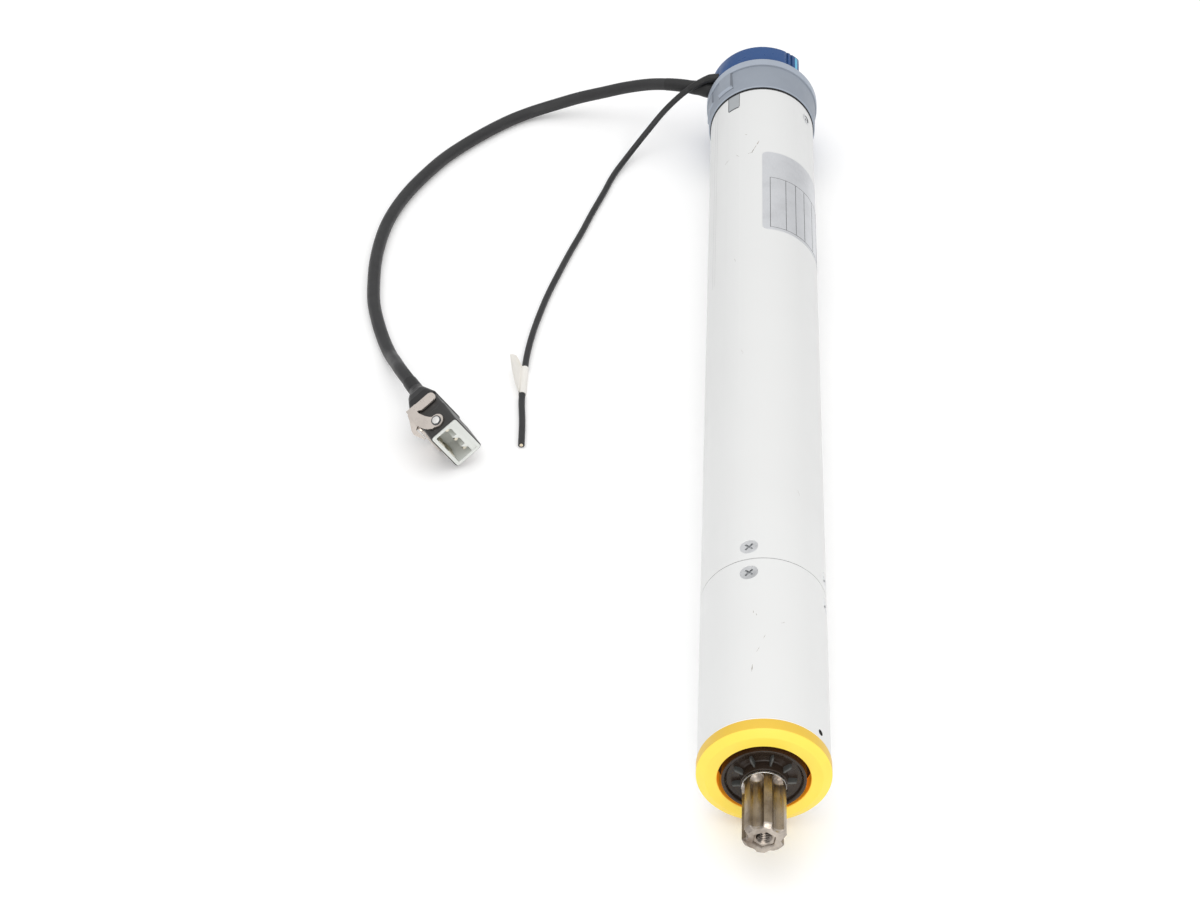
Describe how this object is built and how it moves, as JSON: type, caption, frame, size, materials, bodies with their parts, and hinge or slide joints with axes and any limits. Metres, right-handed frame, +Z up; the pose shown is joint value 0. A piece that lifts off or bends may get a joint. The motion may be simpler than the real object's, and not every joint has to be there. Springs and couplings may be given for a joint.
{
  "type": "tubular roller blind motor",
  "caption": "Long round drive with a lobed output shaft, planetary gears, a free-turning crown, a power cable with a plug and an antenna lead.",
  "frame": {"origin": "on the surface that the drive lies on, under the middle of its length", "axes": "+X along the tube towards the drive shaft, +Z up, the cables leave towards -Y"},
  "size_m": [0.5907, 0.2465, 0.063],
  "materials": {
    "tube_paint": "smooth white powder coat",
    "light_alloy": "turned",
    "bright_screw": "zinc plated",
    "yellow_plastic": "smooth moulded",
    "black_plastic": "smooth moulded",
    "bronze": "sintered",
    "shaft_steel": "turned",
    "gear_steel": "oiled sintered steel",
    "planet_plastic": "moulded acetal",
    "copper": "varnished wire",
    "lamination": "stacked sheet",
    "can_alloy": "drawn",
    "board_green": "solder mask",
    "head_plastic": "smooth moulded",
    "washer_rubber": "plain",
    "crown_plastic": "smooth moulded",
    "blue_plastic": "smooth moulded",
    "cable_rubber": "smooth",
    "boot_rubber": "smooth",
    "tag_paper": "paper",
    "insert_plastic": "smooth moulded",
    "contact_metal": "tin plated",
    "clip_steel": "bent sheet"
  },
  "bodies": {
    "housing": {"gear_tube": "tube_paint", "motor_tube": "tube_paint", "joint_collar": "light_alloy", "seam_screws": "bright_screw", "end_ring": "yellow_plastic", "output_cover": "black_plastic", "output_bush": "bronze", "ring_gear": "gear_steel", "gearbox_plate": "light_alloy", "brake_coil": "copper", "front_shield": "light_alloy", "rear_shield": "light_alloy", "rotor_bearings": "shaft_steel", "stator_core": "lamination", "stator_winding": "copper", "capacitor": "can_alloy", "electronics_tray": "black_plastic", "control_board": "board_green", "head_core": "head_plastic", "crown_washer": "washer_rubber", "head_cap": "blue_plastic", "head_screws": "bright_screw", "fixing_screw": "bright_screw", "cable_gland": "cable_rubber", "antenna_gland": "cable_rubber", "power_cable": "cable_rubber", "antenna_cable": "cable_rubber", "antenna_tag": "tag_paper", "plug_boot": "boot_rubber", "plug_body": "black_plastic", "plug_insert": "insert_plastic", "plug_pins": "contact_metal", "plug_earth_spring": "contact_metal"},
    "output": {"drive_shaft": "shaft_steel", "thrust_washer": "bronze", "carrier_3": "gear_steel", "planet_pins_3": "shaft_steel"},
    "stage_2": {"carrier_2": "gear_steel", "planet_pins_2": "shaft_steel"},
    "stage_1": {"carrier_1": "gear_steel", "planet_pins_1": "shaft_steel"},
    "rotor": {"rotor_shaft": "shaft_steel", "rotor_core": "lamination", "motor_pinion": "bronze", "brake_disc": "black_plastic"},
    "crown": {"crown_ring": "crown_plastic"},
    "limit_pinion": {"encoder_pinion": "planet_plastic"},
    "armature": {"brake_armature": "shaft_steel"},
    "clip": {"plug_clip": "clip_steel"},
    "planet_3a_gear": {"planet_3a": "planet_plastic"},
    "planet_3b_gear": {"planet_3b": "planet_plastic"},
    "planet_3c_gear": {"planet_3c": "planet_plastic"},
    "planet_2a_gear": {"planet_2a": "planet_plastic"},
    "planet_2b_gear": {"planet_2b": "planet_plastic"},
    "planet_2c_gear": {"planet_2c": "planet_plastic"},
    "planet_1a_gear": {"planet_1a": "planet_plastic"},
    "planet_1b_gear": {"planet_1b": "planet_plastic"},
    "planet_1c_gear": {"planet_1c": "planet_plastic"}
  },
  "joints": [
    {"name": "drive_spin", "type": "hinge", "parent": "housing", "child": "output", "pos_m": [0, 0, 0.0315], "axis": [1, 0, 0], "continuous": true},
    {"name": "stage_2_spin", "type": "hinge", "parent": "housing", "child": "stage_2", "pos_m": [0, 0, 0.0315], "axis": [1, 0, 0], "continuous": true},
    {"name": "stage_1_spin", "type": "hinge", "parent": "housing", "child": "stage_1", "pos_m": [0, 0, 0.0315], "axis": [1, 0, 0], "continuous": true},
    {"name": "rotor_spin", "type": "hinge", "parent": "housing", "child": "rotor", "pos_m": [0, 0, 0.0315], "axis": [1, 0, 0], "continuous": true},
    {"name": "planet_3a_spin", "type": "hinge", "parent": "output", "child": "planet_3a_gear", "pos_m": [0, 0, 0.018], "axis": [1, 0, 0], "continuous": true},
    {"name": "planet_3b_spin", "type": "hinge", "parent": "output", "child": "planet_3b_gear", "pos_m": [0, 0.01169, 0.03825], "axis": [1, 0, 0], "continuous": true},
    {"name": "planet_3c_spin", "type": "hinge", "parent": "output", "child": "planet_3c_gear", "pos_m": [0, -0.01169, 0.03825], "axis": [1, 0, 0], "continuous": true},
    {"name": "planet_2a_spin", "type": "hinge", "parent": "stage_2", "child": "planet_2a_gear", "pos_m": [0, 0, 0.018], "axis": [1, 0, 0], "continuous": true},
    {"name": "planet_2b_spin", "type": "hinge", "parent": "stage_2", "child": "planet_2b_gear", "pos_m": [0, 0.01169, 0.03825], "axis": [1, 0, 0], "continuous": true},
    {"name": "planet_2c_spin", "type": "hinge", "parent": "stage_2", "child": "planet_2c_gear", "pos_m": [0, -0.01169, 0.03825], "axis": [1, 0, 0], "continuous": true},
    {"name": "planet_1a_spin", "type": "hinge", "parent": "stage_1", "child": "planet_1a_gear", "pos_m": [0, 0, 0.018], "axis": [1, 0, 0], "continuous": true},
    {"name": "planet_1b_spin", "type": "hinge", "parent": "stage_1", "child": "planet_1b_gear", "pos_m": [0, 0.01169, 0.03825], "axis": [1, 0, 0], "continuous": true},
    {"name": "planet_1c_spin", "type": "hinge", "parent": "stage_1", "child": "planet_1c_gear", "pos_m": [0, -0.01169, 0.03825], "axis": [1, 0, 0], "continuous": true},
    {"name": "crown_spin", "type": "hinge", "parent": "housing", "child": "crown", "pos_m": [0, 0, 0.0315], "axis": [1, 0, 0], "continuous": true},
    {"name": "limit_spin", "type": "hinge", "parent": "housing", "child": "limit_pinion", "pos_m": [0, 0.0098, 0.01453], "axis": [1, 0, 0], "continuous": true},
    {"name": "brake_lift", "type": "slide", "parent": "housing", "child": "armature", "axis": [1, 0, 0], "range_m": [0, 0.0005]},
    {"name": "clip_swing", "type": "hinge", "parent": "housing", "child": "clip", "pos_m": [0.01731, -0.15539, 0.018], "axis": [0.2653, -0.4415, 0.8572], "range_deg": [0, 25]}
  ],
  "couplings": [
    {"joint": "stage_2_spin", "follows": "drive_spin", "ratio": 4.5},
    {"joint": "stage_1_spin", "follows": "drive_spin", "ratio": 20.25},
    {"joint": "rotor_spin", "follows": "drive_spin", "ratio": 91.125},
    {"joint": "planet_3a_spin", "follows": "drive_spin", "ratio": -2.8},
    {"joint": "planet_3b_spin", "follows": "drive_spin", "ratio": -2.8},
    {"joint": "planet_3c_spin", "follows": "drive_spin", "ratio": -2.8},
    {"joint": "planet_2a_spin", "follows": "drive_spin", "ratio": -12.6},
    {"joint": "planet_2b_spin", "follows": "drive_spin", "ratio": -12.6},
    {"joint": "planet_2c_spin", "follows": "drive_spin", "ratio": -12.6},
    {"joint": "planet_1a_spin", "follows": "drive_spin", "ratio": -56.7},
    {"joint": "planet_1b_spin", "follows": "drive_spin", "ratio": -56.7},
    {"joint": "planet_1c_spin", "follows": "drive_spin", "ratio": -56.7},
    {"joint": "limit_spin", "follows": "crown_spin", "ratio": 4.5}
  ]
}
